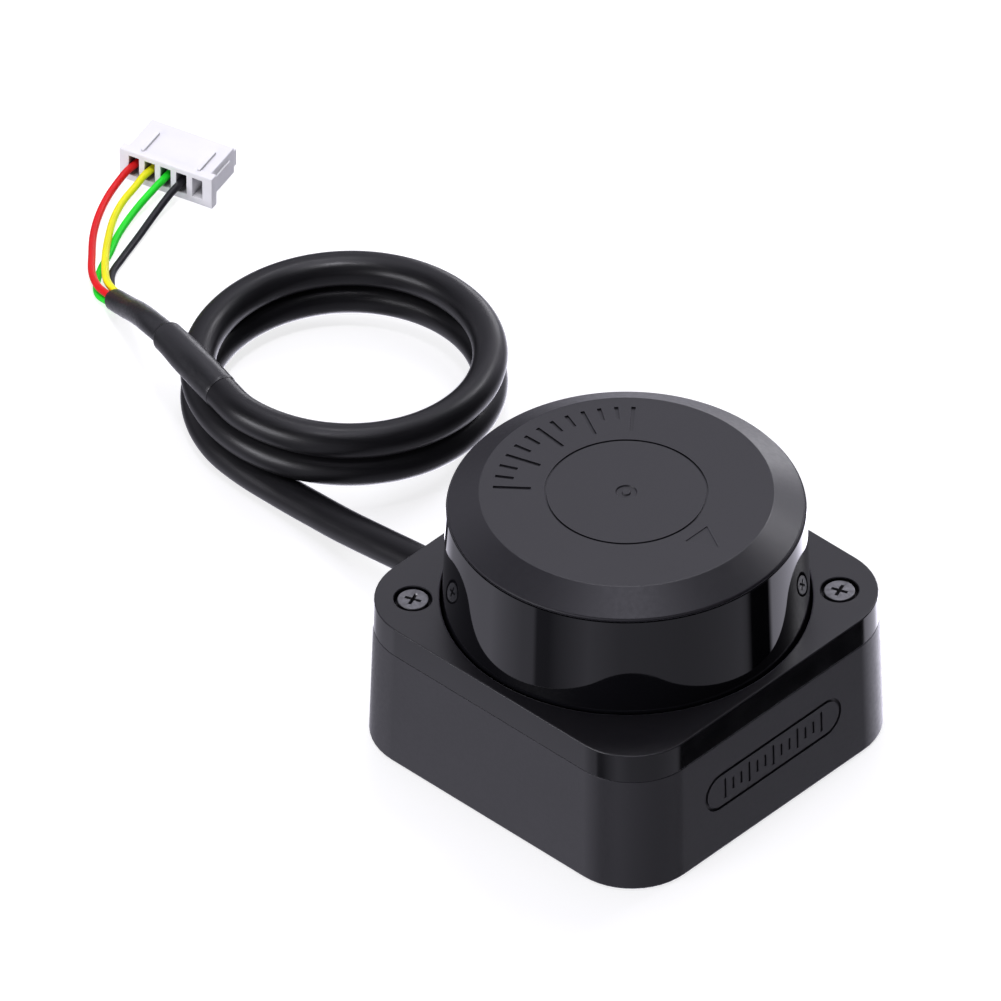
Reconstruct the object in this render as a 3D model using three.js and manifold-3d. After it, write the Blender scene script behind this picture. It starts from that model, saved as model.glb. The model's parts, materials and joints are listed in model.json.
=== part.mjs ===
// Spinning lidar scanner module: a square base, a rotor head that turns on two ball bearings, and a
// jacketed cable that ends in four single wires and a five-way connector.
//
// Millimetres, +Z up. The origin is the middle of the underside. The base's front face, with the
// stadium-shaped outline on it, looks along -Y, and the cable leaves through the +Y face.

import * as THREE from "three";
import { mergeVertices } from "three/addons/utils/BufferGeometryUtils.js";
import Module from "manifold-3d";

const wasm = await Module();
wasm.setup();

// ---------------------------------------------------------------- driving dimensions

const BASE_HALF = 27.8; // half of the base's width at the floor
const BASE_CORNER = 9.8;
const PLATE_TOP = 23.15; // top of the base's cover plate
const PLATE_HALF = 27.165; // half of the base's width there, less because of the draft
const PARTING = 18.65; // where the cover meets the lower shell
const MODULE_HEIGHT = 41.3;

const FLOOR = 2.0;
const CAVITY_HALF = 25.6;
const CAVITY_CORNER = 8.0;
const CORNER_BOSS = 20.6; // the bosses stand at plus and minus this in X and Y
const INSERT_AT = 21.5; // threaded inserts on a 43 mm square
const ROTOR_HOLE_R = 25.5;

const BADGE = { z: 10.3, length: 27.2, height: 6.1, line: 0.5, deep: 0.25 };

const SHAFT_R = 1.5;
const SLEEVE_R = 5.2;
const BEARING = { inner: 1.55, innerOut: 2.15, outerIn: 3.3, outer: 4.0, height: 4.0 };
const LOWER_BEARING = 5.0;
const UPPER_BEARING = 9.95;
const BALL = { count: 7, radius: 0.5, pitch: 2.725 };

const STATOR = { bottom: 8.2, height: 4.6, slots: 6, hub: 7.2, tooth: 2.2, shoeIn: 11.5, outer: 12.9 };
const YOKE = { outer: 16.3, inner: 15.4, bottom: 7.6, top: 15.4 };
const DECK = { bottom: 10.6, thick: 1.2, half: 25.2, corner: 7.6, hole: 17.0 };
const POWER_COIL = { inner: 16.9, outer: 19.6, thick: 1.9 };
const ENCODER = { inner: 22.3, outer: 23.1, top: 17.0, slots: 16, slotBottom: 14.4 };

const MAIN_BOARD = { bottom: 5.0, thick: 1.2, half: 23.6, corner: 6.5, post: 15.5 };
const PLATTER = { bottom: 17.4, thick: 2.0, radius: 24.5, postAt: 17.0 };
const ROTOR_BOARD = { bottom: 21.0, thick: 1.2, radius: 22.6 };

const WINDOW = { bottom: 19.5, top: 38.5, lowR: 25.3, highR: 24.6, wall: 1.3 };
const CAP = { edgeR: 24.75, edgeZ: 38.71, flatR: 20.15, lipR: 22.9, lipZ: 37.0, ceiling: 39.6 };
const CAP_RING_R = 11.04;
const ENGRAVED = 0.2;

const OPTIC_Z = 29.4;
const RECEIVER_X = 5.5;
const EMITTER_X = -8.5;

const CABLE_R = 2.45;
const CABLE_Z = 7.2; // height of the cable's exit
const COIL = { x: 22.1, y: 74.25, radius: 20.25, top: 9.0 };
const SLEEVE_TUBE = { wide: 2.65, neck: 1.75 };
const WIRE_R = 0.5;

const CONNECTOR = { x: 39.85, y: 125.5, turn: 14.2, length: 9.6 };
const FLANGE = { half: 7.45, length: 1.4, top: 5.3 }; // the connector's wire-side flange
const HOUSING = { half: 6.6, length: 7.9, bottom: 0.75, top: 5.2, ribTop: 5.6 };
const WAYS = 5;
const WAY_PITCH = 2.54;
const WAY = { z: 2.8, width: 1.5, height: 3.2 };

const GAP = 0.1; // between pieces that rest on each other
const ROUND = 48; // sides of a large circle
const SMALL_ROUND = 16;

// ---------------------------------------------------------------- shapes

function rad(degrees) {
  return (degrees * Math.PI) / 180;
}

/** Half of the drafted base's width at a height, as a share of its width at the floor. */
function draftAt(z) {
  return 1 - (1 - PLATE_HALF / BASE_HALF) * (z / PLATE_TOP);
}

function roundedRectangle(halfX, halfY, corner) {
  const shape = new THREE.Shape();
  shape.absarc(halfX - corner, halfY - corner, corner, 0, rad(90));
  shape.absarc(corner - halfX, halfY - corner, corner, rad(90), rad(180));
  shape.absarc(corner - halfX, corner - halfY, corner, rad(180), rad(270));
  shape.absarc(halfX - corner, corner - halfY, corner, rad(270), rad(360));
  shape.closePath();
  return shape;
}

function polygon(points) {
  return new THREE.Shape(points.map(([x, y]) => new THREE.Vector2(x, y)));
}

/** A shape's upright prism from a height up. Each of its arcs has arcSides sides. */
function prism(shape, bottom, height, arcSides = 8) {
  const options = { depth: height, bevelEnabled: false, curveSegments: arcSides / 2 };
  return new THREE.ExtrudeGeometry(shape, options).translate(0, 0, bottom);
}

function block(x0, x1, y0, y1, z0, z1) {
  const geometry = new THREE.BoxGeometry(x1 - x0, y1 - y0, z1 - z0);
  return geometry.translate((x0 + x1) / 2, (y0 + y1) / 2, (z0 + z1) / 2);
}

/** An upright cylinder. */
function post(radius, bottom, top, x = 0, y = 0, sides = SMALL_ROUND) {
  const geometry = new THREE.CylinderGeometry(radius, radius, top - bottom, sides);
  return geometry.rotateX(rad(90)).translate(x, y, (bottom + top) / 2);
}

/** A cylinder along Y. */
function barrel(radius, y0, y1, x, z, sides = SMALL_ROUND) {
  const geometry = new THREE.CylinderGeometry(radius, radius, y1 - y0, sides);
  return geometry.translate(x, (y0 + y1) / 2, z);
}

/** A profile of [radius, height] points, counter-clockwise, turned about Z. */
function turned(profile, sides = ROUND) {
  const points = profile.map(([r, z]) => new THREE.Vector2(r, z));
  return new THREE.LatheGeometry(points, sides).rotateX(rad(90));
}

function ring(inner, outer, bottom, top, sides = ROUND) {
  const profile = [
    [inner, bottom],
    [outer, bottom],
    [outer, top],
    [inner, top],
    [inner, bottom],
  ];
  return turned(profile, sides);
}

/** The drafted outside of the base between two heights. */
function draftedBlock(bottom, top) {
  const square = roundedRectangle(BASE_HALF, BASE_HALF, BASE_CORNER);
  const geometry = prism(square, bottom, top - bottom, 12);
  const position = geometry.attributes.position;
  for (let i = 0; i < position.count; i += 1) {
    const scale = draftAt(position.getZ(i));
    position.setX(i, position.getX(i) * scale);
    position.setY(i, position.getY(i) * scale);
  }
  return geometry;
}

/** A round tube, solid, along a smooth line through points. */
function tube(points, radius, sides, steps) {
  const path = new THREE.CatmullRomCurve3(points.map((p) => new THREE.Vector3(...p)), false, "centripetal");
  const circle = new THREE.Shape();
  circle.absarc(0, 0, radius, 0, rad(360));
  const options = { steps, bevelEnabled: false, extrudePath: path, curveSegments: sides / 2 };
  return new THREE.ExtrudeGeometry(circle, options);
}

function spots(distance) {
  return [
    [distance, distance],
    [-distance, distance],
    [-distance, -distance],
    [distance, -distance],
  ];
}

// ---------------------------------------------------------------- joining and cutting

function solid(geometry) {
  const bare = geometry.clone();
  bare.deleteAttribute("normal");
  bare.deleteAttribute("uv");
  const merged = mergeVertices(bare, 1e-4);
  return new wasm.Manifold(
    new wasm.Mesh({
      numProp: 3,
      vertProperties: new Float32Array(merged.attributes.position.array),
      triVerts: new Uint32Array(merged.index.array),
    }),
  );
}

function joined(geometries) {
  return geometries.map(solid).reduce((sum, next) => sum.add(next));
}

function cut(body, geometries) {
  return geometries.map(solid).reduce((rest, next) => rest.subtract(next), body);
}

function toGeometry(body) {
  const mesh = body.getMesh();
  const geometry = new THREE.BufferGeometry();
  geometry.setAttribute("position", new THREE.BufferAttribute(new Float32Array(mesh.vertProperties), 3));
  geometry.setIndex(new THREE.BufferAttribute(new Uint32Array(mesh.triVerts), 1));
  geometry.computeVertexNormals();
  return geometry;
}

// ---------------------------------------------------------------- materials and the assembly

function material(color, roughness, metalness = 0) {
  return () => new THREE.MeshStandardMaterial({ color, roughness, metalness });
}

const SHELL_PLASTIC = material(0x46454a, 0.6);
const COVER_PLASTIC = material(0x3c3b40, 0.35);
const CAP_PLASTIC = material(0x444348, 0.65);
const WINDOW_PLASTIC = material(0x24242a, 0.08);
const STEEL = material(0xb8b8bc, 0.25, 1);
const BLACK_STEEL = material(0x3a3a3e, 0.35, 1);
const BRASS = material(0xb5935a, 0.35, 1);
const BOARD_GREEN = material(0x14502c, 0.5);
const CHIP_BLACK = material(0x17171a, 0.5);
const COPPER = material(0xb56a3a, 0.4, 1);
const MAGNET = material(0x4a4a4e, 0.6);
const GLASS = material(0x9fb4c4, 0.05);
const RUBBER = material(0x1c1c1e, 0.75);
const JACKET = material(0x242427, 0.5);
const NYLON = material(0xf0eff2, 0.45);
const TIN = material(0xc9c7c0, 0.3, 1);
const HOUSING_BLACK = material(0x222226, 0.55);

const module = new THREE.Group();

function place(name, shape, look, parent = module) {
  const geometry = shape instanceof THREE.BufferGeometry ? shape : toGeometry(shape);
  const mesh = new THREE.Mesh(geometry, look());
  mesh.name = name;
  parent.add(mesh);
  return mesh;
}

// ---------------------------------------------------------------- lower shell

const COVER_SCREWS = [
  [-CORNER_BOSS, CORNER_BOSS],
  [CORNER_BOSS, -CORNER_BOSS],
];
const DECK_PINS = [
  [CORNER_BOSS, CORNER_BOSS],
  [-CORNER_BOSS, -CORNER_BOSS],
];
const BOSS_TOP = DECK.bottom - GAP;
const BOARD_SEAT = MAIN_BOARD.bottom - GAP;

/** The engraved outline on the front face. */
function badgeCutter() {
  const half = BADGE.length / 2;
  const end = BADGE.height / 2;
  const outline = roundedRectangle(half, end, end - 0.001);
  const inside = end - BADGE.line;
  outline.holes.push(roundedRectangle(half - BADGE.line, inside, inside - 0.001));
  const face = BASE_HALF * draftAt(BADGE.z);
  const cutter = prism(outline, face - BADGE.deep, 2, 6);
  return cutter.rotateX(rad(90)).translate(0, 0, BADGE.z);
}

function baseShell() {
  const cavity = roundedRectangle(CAVITY_HALF, CAVITY_HALF, CAVITY_CORNER);
  const hollow = cut(solid(draftedBlock(0, PARTING - 0.05)), [prism(cavity, FLOOR, PARTING)]);
  const inFloor = FLOOR - 0.5;
  const bosses = spots(CORNER_BOSS).map(([x, y]) => post(4.2, inFloor, BOSS_TOP, x, y));
  const tall = COVER_SCREWS.map(([x, y]) => post(3.0, BOSS_TOP - 1, PARTING - 0.2, x, y));
  const pins = DECK_PINS.map(([x, y]) => post(1.5, BOSS_TOP - 1, DECK.bottom + DECK.thick + 0.6, x, y, 12));
  const boardPosts = spots(MAIN_BOARD.post).map(([x, y]) => post(2.0, inFloor, BOARD_SEAT, x, y, 12));
  const hubSeat = ring(9.3, 10.5, inFloor, 3.4, 24);
  const parts = [...bosses, ...tall, ...pins, ...boardPosts, hubSeat];
  const filled = hollow.add(joined(parts));
  return cut(filled, [
    ...spots(INSERT_AT).map(([x, y]) => post(1.85, -1, 4.3, x, y)),
    ...COVER_SCREWS.map(([x, y]) => post(1.1, 12, PARTING + 1, x, y, 12)),
    barrel(3.3, CAVITY_HALF - 2, BASE_HALF + 2, 0, CABLE_Z),
    badgeCutter(),
  ]);
}

place("base_shell", baseShell(), SHELL_PLASTIC);

// ---------------------------------------------------------------- top cover and its screws

const COVER_CEILING = 21.4;
const HEAD = { radius: 2.25, bottom: 21.75, top: 23.05, counterbore: 2.65 };

function topCover() {
  const inside = roundedRectangle(CAVITY_HALF + 0.15, CAVITY_HALF + 0.15, CAVITY_CORNER);
  const bosses = COVER_SCREWS.map(([x, y]) => post(3.4, PARTING - 1, COVER_CEILING + 1, x, y));
  const hollow = cut(solid(prism(inside, PARTING - 1, COVER_CEILING - PARTING + 1)), bosses);
  const lipOutline = roundedRectangle(CAVITY_HALF - 0.1, CAVITY_HALF - 0.1, CAVITY_CORNER - 0.1);
  lipOutline.holes.push(roundedRectangle(CAVITY_HALF - 0.6, CAVITY_HALF - 0.6, CAVITY_CORNER - 0.6));
  const shell = solid(draftedBlock(PARTING, PLATE_TOP)).subtract(hollow);
  const flange = solid(draftedBlock(PARTING, PARTING + 0.6)).subtract(
    solid(prism(roundedRectangle(CAVITY_HALF - 0.6, CAVITY_HALF - 0.6, CAVITY_CORNER - 0.6), 0, PLATE_TOP)),
  );
  const lip = solid(prism(lipOutline, PARTING - 1, 1.2));
  const whole = shell.add(flange).add(lip);
  return cut(whole, [
    post(ROTOR_HOLE_R, PARTING + 2, PLATE_TOP + 1, 0, 0, ROUND),
    ...COVER_SCREWS.map(([x, y]) => post(1.15, PARTING - 1, PLATE_TOP, x, y, 12)),
    ...COVER_SCREWS.map(([x, y]) => post(HEAD.counterbore, HEAD.bottom - 0.05, PLATE_TOP + 1, x, y, 20)),
  ]);
}

place("top_cover", topCover(), COVER_PLASTIC);

function crossHeadScrew() {
  const head = post(HEAD.radius, HEAD.bottom, HEAD.top);
  const body = joined([head, post(0.95, 13, HEAD.bottom + 0.5, 0, 0, 12)]);
  const slot = (turn) => block(-1.3, 1.3, -0.3, 0.3, HEAD.top - 0.7, HEAD.top + 1).rotateZ(rad(turn));
  return cut(body, [slot(0), slot(90)]);
}

COVER_SCREWS.forEach(([x, y], i) => {
  place(`cover_screw_${i + 1}`, crossHeadScrew(), STEEL).position.set(x, y, 0);
});

spots(INSERT_AT).forEach(([x, y], i) => {
  place(`mount_insert_${i + 1}`, ring(1.025, 1.75, 0, 4, SMALL_ROUND), BRASS).position.set(x, y, 0);
});

// ---------------------------------------------------------------- cable grommet

const GROMMET = { bore: 2.8, neck: 3.15, flange: 4.1, inside: 24.3, outside: 29.2 };

function grommet() {
  const wallOut = BASE_HALF + 0.1;
  const wallIn = CAVITY_HALF - 0.15;
  const profile = [
    [GROMMET.bore, GROMMET.inside],
    [GROMMET.flange, GROMMET.inside],
    [GROMMET.flange, wallIn],
    [GROMMET.neck, wallIn],
    [GROMMET.neck, wallOut],
    [GROMMET.flange, wallOut],
    [GROMMET.flange - 0.5, GROMMET.outside],
    [GROMMET.bore, GROMMET.outside],
    [GROMMET.bore, GROMMET.inside],
  ];
  return turned(profile, SMALL_ROUND).rotateX(rad(-90)).translate(0, 0, CABLE_Z);
}

place("cable_grommet", grommet(), RUBBER);

// ---------------------------------------------------------------- main board

function mainBoard() {
  const outline = roundedRectangle(MAIN_BOARD.half, MAIN_BOARD.half, MAIN_BOARD.corner);
  const top = MAIN_BOARD.bottom + MAIN_BOARD.thick;
  return cut(solid(prism(outline, MAIN_BOARD.bottom, MAIN_BOARD.thick)), [
    post(6.6, 0, top + 1, 0, 0, 24),
    ...spots(CORNER_BOSS).map(([x, y]) => post(4.7, 0, top + 1, x, y)),
  ]);
}

const ON_BOARD = MAIN_BOARD.bottom + MAIN_BOARD.thick + GAP;
place("main_board", mainBoard(), BOARD_GREEN);
place("microcontroller", block(-22.7, -15.7, -11.5, -4.5, ON_BOARD, ON_BOARD + 1), CHIP_BLACK);
place("power_inductor", block(-22, -17, 6.5, 11.5, ON_BOARD, ON_BOARD + 3), MAGNET);

function boardHeader() {
  const wall = block(-7.4, 7.4, 17.4, 22.6, ON_BOARD, ON_BOARD + 4);
  const socket = block(-6.6, 6.6, 18.2, 24, ON_BOARD + 0.8, ON_BOARD + 3.2);
  return cut(solid(wall), [socket]);
}

place("board_header", boardHeader(), NYLON);

// ---------------------------------------------------------------- bearings on the hub sleeve

function hubSleeve() {
  const seat = BEARING.outer + 0.05;
  const shoulder = 3.5;
  const lowerTop = LOWER_BEARING + BEARING.height + 0.1;
  const upperBottom = UPPER_BEARING - 0.1;
  const top = 14.1;
  const profile = [
    [seat, FLOOR + GAP],
    [9.0, FLOOR + GAP],
    [9.0, 3.3],
    [5.9, 3.3],
    [5.9, STATOR.bottom - GAP],
    [SLEEVE_R, STATOR.bottom - GAP],
    [SLEEVE_R, top],
    [seat, top],
    [seat, upperBottom],
    [shoulder, upperBottom],
    [shoulder, lowerTop],
    [seat, lowerTop],
    [seat, FLOOR + GAP],
  ];
  return turned(profile, 24);
}

place("hub_sleeve", hubSleeve(), BRASS);

function ballsInCage(middle) {
  const cage = ring(BALL.pitch - 0.22, BALL.pitch + 0.22, middle - 0.3, middle + 0.3, 14);
  const balls = Array.from({ length: BALL.count }, (_, i) => {
    const turn = rad((360 / BALL.count) * i);
    const ball = new THREE.SphereGeometry(BALL.radius, 6, 5);
    return ball.translate(BALL.pitch * Math.cos(turn), BALL.pitch * Math.sin(turn), middle);
  });
  return joined([cage, ...balls]);
}

const BEARINGS = [
  ["lower", LOWER_BEARING],
  ["upper", UPPER_BEARING],
];
BEARINGS.forEach(([name, bottom]) => {
  const top = bottom + BEARING.height;
  place(`${name}_bearing_outer`, ring(BEARING.outerIn, BEARING.outer, bottom, top, 24), STEEL);
  place(`${name}_bearing_inner`, ring(BEARING.inner, BEARING.innerOut, bottom, top, SMALL_ROUND), STEEL);
  place(`${name}_bearing_balls`, ballsInCage((bottom + top) / 2), STEEL);
});

// ---------------------------------------------------------------- motor

function statorCore() {
  const bottom = STATOR.bottom;
  const top = bottom + STATOR.height;
  const hub = ring(SLEEVE_R + 0.08, STATOR.hub, bottom, top, 24);
  const parts = [hub];
  for (let i = 0; i < STATOR.slots; i += 1) {
    const turn = rad((360 / STATOR.slots) * i);
    const half = STATOR.tooth / 2;
    parts.push(block(STATOR.hub - 0.5, STATOR.shoeIn + 0.5, -half, half, bottom, top).rotateZ(turn));
    const shoe = new THREE.Shape();
    shoe.absarc(0, 0, STATOR.outer, rad(-25), rad(25));
    shoe.absarc(0, 0, STATOR.shoeIn, rad(25), rad(-25), true);
    shoe.closePath();
    parts.push(prism(shoe, bottom, STATOR.height, 4).rotateZ(turn));
  }
  return joined(parts);
}

place("stator_core", statorCore(), BLACK_STEEL);

function statorCoil() {
  const low = STATOR.bottom - 0.6;
  const high = STATOR.bottom + STATOR.height + 0.6;
  const room = STATOR.tooth / 2 + 0.15;
  const tooth = block(7, 12, -room, room, STATOR.bottom - 0.15, STATOR.bottom + STATOR.height + 0.15);
  return cut(solid(block(8.0, 11.2, -2.5, 2.5, low, high)), [tooth]);
}

for (let i = 0; i < STATOR.slots; i += 1) {
  place(`stator_coil_${i + 1}`, statorCoil(), COPPER).rotation.z = rad((360 / STATOR.slots) * i);
}

function rotorYoke() {
  const plateBottom = YOKE.top - 1;
  const spacer = UPPER_BEARING + BEARING.height + 0.05;
  const profile = [
    [SHAFT_R + 0.05, spacer],
    [2.1, spacer],
    [2.1, plateBottom],
    [YOKE.inner, plateBottom],
    [YOKE.inner, YOKE.bottom],
    [YOKE.outer, YOKE.bottom],
    [YOKE.outer, YOKE.top],
    [SHAFT_R + 0.05, YOKE.top],
    [SHAFT_R + 0.05, spacer],
  ];
  return turned(profile, 36);
}

place("motor_shaft", post(SHAFT_R, 3.6, 19), STEEL);
place("shaft_clip", ring(SHAFT_R + 0.05, 2.9, 4.4, 4.9, SMALL_ROUND), BLACK_STEEL);
place("rotor_yoke", rotorYoke(), STEEL);
place("magnet_ring", ring(13.7, YOKE.inner - 0.1, 8.0, 14.2, 36), MAGNET);

// ---------------------------------------------------------------- deck, power coils and encoder

function deckPlate() {
  const outline = roundedRectangle(DECK.half, DECK.half, DECK.corner);
  const top = DECK.bottom + DECK.thick + 1;
  return cut(solid(prism(outline, DECK.bottom, DECK.thick)), [
    post(DECK.hole, 0, top, 0, 0, 36),
    ...COVER_SCREWS.map(([x, y]) => post(3.3, 0, top, x, y)),
    ...DECK_PINS.map(([x, y]) => post(1.8, 0, top, x, y, 12)),
    block(-5, 5, GROMMET.inside - 0.4, DECK.half + 1, 0, top),
  ]);
}

const ON_DECK = DECK.bottom + DECK.thick + GAP;
place("deck_plate", deckPlate(), BOARD_GREEN);

function powerCoil(bottom) {
  return ring(POWER_COIL.inner, POWER_COIL.outer, bottom, bottom + POWER_COIL.thick, 36);
}

place("transmit_coil", powerCoil(ON_DECK), COPPER);

function encoderRing() {
  const profile = [
    [ENCODER.inner, ON_DECK],
    [24.3, ON_DECK],
    [24.3, ON_DECK + 0.8],
    [ENCODER.outer, ON_DECK + 0.8],
    [ENCODER.outer, ENCODER.top],
    [ENCODER.inner, ENCODER.top],
    [ENCODER.inner, ON_DECK],
  ];
  const slots = Array.from({ length: ENCODER.slots / 2 }, (_, i) => {
    const slot = block(-26, 26, -2.2, 2.2, ENCODER.slotBottom, ENCODER.top + 1);
    return slot.rotateZ(rad((360 / ENCODER.slots) * (i + 0.5)));
  });
  return cut(solid(turned(profile, 48)), slots);
}

place("encoder_ring", encoderRing(), HOUSING_BLACK);

place("receive_coil", powerCoil(PLATTER.bottom - GAP - POWER_COIL.thick), COPPER);

// ---------------------------------------------------------------- rotor platter and its board

function postSpots() {
  return [30, 150, 270].map((turn) => [
    PLATTER.postAt * Math.cos(rad(turn)),
    PLATTER.postAt * Math.sin(rad(turn)),
  ]);
}

function rotorPlatter() {
  const top = PLATTER.bottom + PLATTER.thick;
  const disc = post(PLATTER.radius, PLATTER.bottom, top, 0, 0, ROUND);
  const hub = post(5, YOKE.top + GAP, PLATTER.bottom + 0.5, 0, 0, 24);
  const posts = postSpots().flatMap(([x, y]) => [
    post(1.8, top - 0.5, ROTOR_BOARD.bottom - GAP, x, y, 12),
    post(0.7, top, ROTOR_BOARD.bottom + ROTOR_BOARD.thick + 0.5, x, y, 8),
  ]);
  return cut(joined([disc, hub, ...posts]), [post(SHAFT_R + 0.05, 0, top + 1)]);
}

function rotorBoard() {
  const top = ROTOR_BOARD.bottom + ROTOR_BOARD.thick;
  const holes = postSpots().map(([x, y]) => post(1.0, 0, top + 1, x, y, 8));
  return cut(solid(post(ROTOR_BOARD.radius, ROTOR_BOARD.bottom, top, 0, 0, ROUND)), holes);
}

/** The fork that straddles the encoder ring, hung below the platter. */
function photointerrupter() {
  const top = PLATTER.bottom - GAP;
  const body = solid(block(20.2, 24.4, -2, 2, 13.6, top));
  return cut(body, [block(21.8, 23.6, -3, 3, 13, top - 0.2)]);
}

place("rotor_platter", rotorPlatter(), HOUSING_BLACK);
place("photointerrupter", photointerrupter(), CHIP_BLACK);
place("rotor_board", rotorBoard(), BOARD_GREEN);

// ---------------------------------------------------------------- optics

const ON_ROTOR_BOARD = ROTOR_BOARD.bottom + ROTOR_BOARD.thick + GAP;
const PLATE_BACK = -3.5;

function lensHolder() {
  const body = joined([
    block(-14.5, 14.5, -6, PLATE_BACK, ON_ROTOR_BOARD, 36.2),
    block(-14.5, 14.5, -10, PLATE_BACK, ON_ROTOR_BOARD, ON_ROTOR_BOARD + 1.5),
    barrel(7.0, -16.5, -5, RECEIVER_X, OPTIC_Z, 24),
    barrel(4.2, -15, -5, EMITTER_X, OPTIC_Z),
  ]);
  return cut(body, [
    barrel(6.1, -20, -8, RECEIVER_X, OPTIC_Z, 24),
    barrel(5.2, -9, 0, RECEIVER_X, OPTIC_Z, 24),
    barrel(3.2, -20, -8, EMITTER_X, OPTIC_Z),
    barrel(2.4, -9, 0, EMITTER_X, OPTIC_Z),
  ]);
}

/** A biconvex lens about the Y axis: arcs of a sphere on both sides of a thin rim. */
function lens(radius, rim, bulge, y, x) {
  const sphere = (radius * radius + bulge * bulge) / (2 * bulge);
  const steps = 3;
  const front = [];
  for (let i = 0; i <= steps; i += 1) {
    const r = (radius * i) / steps;
    front.push([r, rim / 2 + bulge - sphere + Math.sqrt(sphere * sphere - r * r)]);
  }
  const back = front.map(([r, z]) => [r, -z]);
  return turned([...back, ...front.reverse()], SMALL_ROUND).rotateX(rad(-90)).translate(x, y, OPTIC_Z);
}

function laserDiode() {
  return joined([
    barrel(1.6, -7.4, -4, EMITTER_X, OPTIC_Z, 12),
    barrel(2.1, -4.6, PLATE_BACK + 0.2, EMITTER_X, OPTIC_Z, 12),
  ]);
}

place("lens_holder", lensHolder(), HOUSING_BLACK);
place("receiver_lens", lens(5.9, 1.2, 1.2, -14, RECEIVER_X), GLASS);
place("emitter_lens", lens(3.0, 0.9, 0.6, -13, EMITTER_X), GLASS);
place("laser_diode", laserDiode(), BRASS);
place("photodetector", block(3.5, 7.5, -4.6, -3.4, OPTIC_Z - 2, OPTIC_Z + 2), CHIP_BLACK);
place("optics_board", block(-14, 14, -3.1, -2, ON_ROTOR_BOARD + 0.3, 36), BOARD_GREEN);

/** A curved block that balances the lens holder, on the far side of the shaft. */
function balanceWeight() {
  const sector = new THREE.Shape();
  sector.absarc(0, 0, 20, rad(62), rad(118));
  sector.absarc(0, 0, 13, rad(118), rad(62), true);
  sector.closePath();
  return prism(sector, ON_ROTOR_BOARD, 7, 8);
}

place("balance_weight", balanceWeight(), STEEL);

// ---------------------------------------------------------------- rotor window and cap

function windowShell() {
  const profile = [
    [WINDOW.lowR - WINDOW.wall, WINDOW.bottom],
    [WINDOW.lowR, WINDOW.bottom],
    [WINDOW.highR, WINDOW.top],
    [WINDOW.highR - WINDOW.wall, WINDOW.top],
    [WINDOW.lowR - WINDOW.wall, WINDOW.bottom],
  ];
  return turned(profile, ROUND);
}

function rotorCap() {
  const top = MODULE_HEIGHT;
  const seat = WINDOW.top + GAP;
  const groove = 0.2;
  const profile = [
    [0, CAP.ceiling],
    [18.6, CAP.ceiling],
    [21.5, 38.2],
    [21.5, CAP.lipZ],
    [CAP.lipR, CAP.lipZ],
    [CAP.lipR, seat],
    [CAP.edgeR - 0.3, seat],
    [CAP.edgeR, CAP.edgeZ],
    [CAP.flatR, top],
    [CAP_RING_R + groove, top],
    [CAP_RING_R, top - ENGRAVED],
    [CAP_RING_R - groove, top],
    [0, top],
  ];
  const arrow = [
    [-2.2, -13.0],
    [0, -17.2],
    [2.2, -13.0],
  ];
  return cut(solid(turned(profile, ROUND)), [prism(polygon(arrow), top - ENGRAVED, 1)]);
}

place("window_shell", windowShell(), WINDOW_PLASTIC);
place("rotor_cap", rotorCap(), CAP_PLASTIC);

// ---------------------------------------------------------------- cable

const LEAD = [
  [0, 25, CABLE_Z],
  [0, 30, CABLE_Z],
  [0.05, 38, 6.6],
  [0.3, 46.1, 5.4],
  [0.8, 54.2, 4],
  [1.2, 59.2, 3.3],
];
const TAIL = [
  [1.9, 74.2, 12.25],
  [2.35, 76.8, 12.25],
  [2.9, 79.1, 12.25],
];
const SLEEVE_WIDE = [
  [2.95, 79.4, 12.3],
  [4.65, 86.15, 12.5],
  [6.8, 93.25, 12],
];
const SLEEVE_NECK = [
  [6.5, 92.4, 12.05],
  [8.75, 97.8, 10.5],
  [11.4, 103.2, 7.2],
  [14.05, 108.35, 3.7],
  [16.35, 112.65, 1.9],
];

function coilSolid() {
  const inner = COIL.radius - CABLE_R;
  const outer = COIL.radius + CABLE_R;
  return ring(inner, outer, 0.05, COIL.top, 40).translate(COIL.x, COIL.y, 0);
}

place("cable_lead", tube(LEAD, CABLE_R, 10, 9), JACKET);
place("cable_coil", coilSolid(), JACKET);
place("cable_tail", tube(TAIL, CABLE_R, 10, 2), JACKET);
place(
  "cable_sleeve",
  joined([tube(SLEEVE_WIDE, SLEEVE_TUBE.wide, 10, 4), tube(SLEEVE_NECK, SLEEVE_TUBE.neck, 8, 5)]),
  RUBBER,
);

// ---------------------------------------------------------------- connector and wires

const connector = new THREE.Group();
connector.position.set(CONNECTOR.x, CONNECTOR.y, 0);
connector.rotation.z = rad(CONNECTOR.turn);
module.add(connector);

/** The Y place of a way in the connector's own frame, where +X runs from the wire side to the mating side. */
function wayY(way) {
  return (2 - way) * WAY_PITCH;
}

function connectorHousing() {
  const { half, bottom, length, top, ribTop } = HOUSING;
  const ribs = [-4.8, 4.2].map((y) => block(1, 5.5, y - 0.25, y + 0.25, top - 0.5, ribTop));
  const body = joined([
    block(0, FLANGE.length, -FLANGE.half, FLANGE.half, 0, FLANGE.top),
    block(0.5, length, -half, half, bottom, top),
    block(length - 0.5, CONNECTOR.length, 0.6 - half, half - 0.6, bottom, 3.6),
    ...ribs,
  ]);
  const ways = Array.from({ length: WAYS }, (_, way) => {
    const y = wayY(way);
    const side = WAY.width / 2;
    const rise = WAY.height / 2;
    return block(-1, CONNECTOR.length + 1, y - side, y + side, WAY.z - rise, WAY.z + rise);
  });
  return cut(body, ways);
}

place("connector_housing", connectorHousing(), NYLON, connector);

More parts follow.
